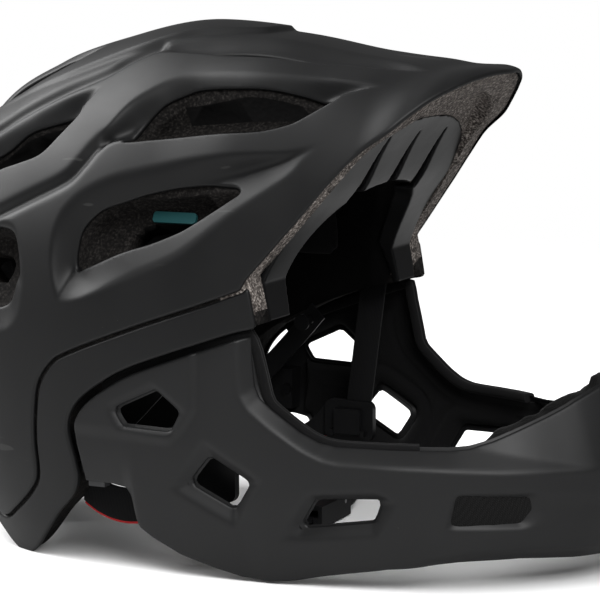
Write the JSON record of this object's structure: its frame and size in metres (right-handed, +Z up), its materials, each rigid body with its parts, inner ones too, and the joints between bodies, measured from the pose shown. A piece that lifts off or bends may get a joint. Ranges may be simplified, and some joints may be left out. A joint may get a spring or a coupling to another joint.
{
  "type": "full face bicycle helmet",
  "caption": "Full face helmet with a fixed visor, a vented dome, a removable chin guard with open windows, a dial fit system and a ratchet chin strap.",
  "frame": {"origin": "on the floor, under the middle of the overall box", "axes": "+X to the front of the helmet, +Y to the wearer's left, +Z up from the floor that it stands on"},
  "size_m": [0.35, 0.212, 0.2396],
  "materials": {
    "shell_black": "matt soft-touch moulded plastic, near black",
    "foam_grey": "expanded foam of fused beads, dark grey-brown with paler specks",
    "trim_gloss": "glossy black moulded trim",
    "hardware_black": "moulded black nylon, slightly satin",
    "button_grey": "dark grey moulded push button",
    "tab_teal": "teal moulded tab",
    "pad_fabric": "black brushed fabric over soft foam, with a mesh on the chin pad",
    "webbing": "black flat webbing, with red piping on its rear part",
    "steel": "plated steel"
  },
  "bodies": {
    "helmet": {"upper_shell": "shell_black", "lower_shell": "shell_black", "foam_liner": "foam_grey", "brow_trim": "trim_gloss", "size_tab": "tab_teal", "crown_pad": "pad_fabric", "brow_pad": "pad_fabric", "rear_pad": "pad_fabric", "side_pad_left": "pad_fabric", "side_pad_right": "pad_fabric", "chin_strap_pad": "pad_fabric", "latch_socket_left": "hardware_black", "latch_socket_right": "hardware_black", "housing_screws": "steel", "lever_pin": "steel", "lever_spring": "steel", "cam_pins": "steel", "dial_housing": "hardware_black", "housing_cover": "hardware_black", "hanger_pins": "hardware_black", "temple_pins": "hardware_black", "strap_anchors": "hardware_black", "strap_divider_left": "hardware_black", "strap_divider_right": "hardware_black", "strap_front_left": "webbing", "strap_front_right": "webbing", "strap_rear_left": "webbing", "strap_rear_right": "webbing", "chin_strap_left": "webbing", "chin_strap_right": "webbing", "buckle_housing": "hardware_black", "ratchet_tongue": "hardware_black"},
    "chin_guard": {"chin_guard": "shell_black", "guard_liner_left": "pad_fabric", "guard_liner_right": "pad_fabric", "chin_pad": "pad_fabric", "latch_housing_left": "hardware_black", "latch_housing_right": "hardware_black", "latch_screws": "steel", "button_spring_left": "steel", "button_spring_right": "steel"},
    "release_button_left": {"release_button_left": "button_grey"},
    "release_button_right": {"release_button_right": "button_grey"},
    "fit_dial": {"fit_dial": "hardware_black", "pinion": "hardware_black"},
    "fit_band_left": {"fit_band_left": "hardware_black"},
    "fit_band_right": {"fit_band_right": "hardware_black"},
    "buckle_lever": {"buckle_lever": "hardware_black"},
    "divider_cam_left": {"divider_cam_left": "hardware_black"},
    "divider_cam_right": {"divider_cam_right": "hardware_black"}
  },
  "joints": [
    {"name": "guard_slide", "type": "slide", "parent": "helmet", "child": "chin_guard", "axis": [1, 0, 0], "range_m": [0, 0.03]},
    {"name": "button_left_push", "type": "slide", "parent": "chin_guard", "child": "release_button_left", "axis": [0, 0, 1], "range_m": [0, 0.0025], "stiffness_N_per_m": 400, "springref_m": -0.002, "deforming": ["button_spring_left"]},
    {"name": "button_right_push", "type": "slide", "parent": "chin_guard", "child": "release_button_right", "axis": [0, 0, 1], "range_m": [0, 0.0025], "stiffness_N_per_m": 400, "springref_m": -0.002, "deforming": ["button_spring_right"]},
    {"name": "dial_turn", "type": "hinge", "parent": "helmet", "child": "fit_dial", "pos_m": [-0.1339, 0, 0.019], "axis": [1, 0, 0], "range_deg": [0, 68.76]},
    {"name": "band_left_draw", "type": "slide", "parent": "helmet", "child": "fit_band_left", "axis": [0, -1, 0], "range_m": [0, 0.006]},
    {"name": "band_right_draw", "type": "slide", "parent": "helmet", "child": "fit_band_right", "axis": [0, 1, 0], "range_m": [0, 0.006]},
    {"name": "lever_lift", "type": "hinge", "parent": "helmet", "child": "buckle_lever", "pos_m": [-0.001, 0.044, 0.0086], "axis": [-1, 0, 0], "range_deg": [0, 55], "stiffness_Nm_per_rad": 0.02, "springref_deg": -17.19},
    {"name": "cam_left_open", "type": "hinge", "parent": "helmet", "child": "divider_cam_left", "pos_m": [-0.001, 0.0725, 0.036], "axis": [1, 0, 0], "range_deg": [0, 80]},
    {"name": "cam_right_open", "type": "hinge", "parent": "helmet", "child": "divider_cam_right", "pos_m": [-0.001, -0.0725, 0.036], "axis": [-1, 0, 0], "range_deg": [0, 80]}
  ],
  "couplings": [
    {"joint": "dial_turn", "follows": "band_left_draw", "rad_per_m": 200},
    {"joint": "band_right_draw", "follows": "band_left_draw", "ratio": 1}
  ]
}
